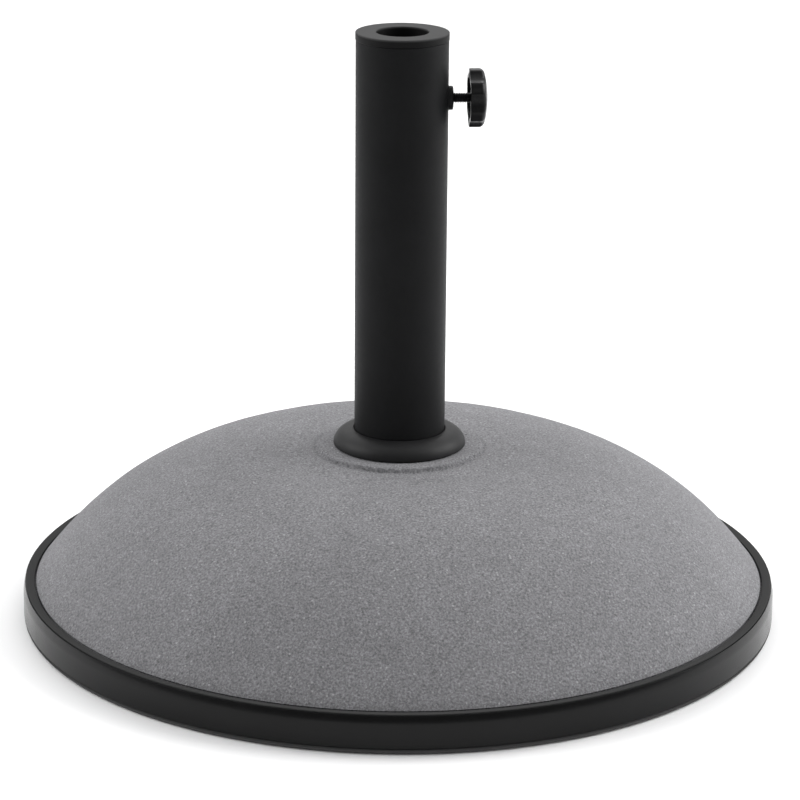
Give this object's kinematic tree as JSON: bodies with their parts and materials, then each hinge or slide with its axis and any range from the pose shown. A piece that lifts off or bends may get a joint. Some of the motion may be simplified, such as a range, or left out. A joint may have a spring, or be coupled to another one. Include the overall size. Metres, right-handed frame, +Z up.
{
  "type": "parasol base",
  "caption": "Round domed concrete parasol base with a black plastic edge ring, bolted steel stand pipe, cover collar, reducer cap and side thumb screw.",
  "frame": {"origin": "on the floor, at the centre of the round base", "axes": "+Z up along the stand pipe, +X out along the thumb screw towards its knob"},
  "size_m": [0.4525, 0.4526, 0.3528],
  "materials": {
    "concrete": "cast grey concrete with a fine sandy face and small pores",
    "ring_plastic": "satin black moulded plastic",
    "collar_plastic": "satin black moulded plastic",
    "cap_plastic": "fine-grained black moulded plastic",
    "knob_plastic": "satin black moulded plastic",
    "liner_plastic": "dark grey plastic",
    "pipe_paint": "black powder coat on steel",
    "screw_steel": "blackened steel",
    "zinc_steel": "bright zinc-plated steel",
    "pad_plastic": "black nylon"
  },
  "bodies": {
    "base": {"concrete_weight": "concrete", "trim_ring": "ring_plastic", "socket_liner": "liner_plastic", "standpipe": "pipe_paint", "tube_end_plate": "pipe_paint", "clamp_nut": "zinc_steel", "clamp_bolt": "zinc_steel", "clamp_washer": "zinc_steel", "spring_washer": "zinc_steel", "pole_guide": "cap_plastic", "screw_boss": "pipe_paint"},
    "collar": {"cover_collar": "collar_plastic"},
    "reducer": {"reducer_cap": "cap_plastic"},
    "screw_tip": {"screw_tip_pad": "pad_plastic"},
    "screw": {"thumb_stud": "screw_steel", "thumb_knob": "knob_plastic"}
  },
  "joints": [
    {"name": "collar_lift", "type": "slide", "parent": "base", "child": "collar", "axis": [0, 0, 1], "range_m": [0, 0.175]},
    {"name": "reducer_lift", "type": "slide", "parent": "base", "child": "reducer", "axis": [0, 0, 1], "range_m": [0, 0.07]},
    {"name": "screw_travel", "type": "slide", "parent": "base", "child": "screw_tip", "axis": [1, 0, 0], "range_m": [-0.008, 0.0035]},
    {"name": "knob_turn", "type": "hinge", "parent": "screw_tip", "child": "screw", "pos_m": [0.0389, 0, 0.3138], "axis": [1, 0, 0], "range_deg": [-2880, 1260]}
  ],
  "couplings": [
    {"joint": "screw_travel", "follows": "knob_turn", "m_per_rad": 0.00015915}
  ]
}
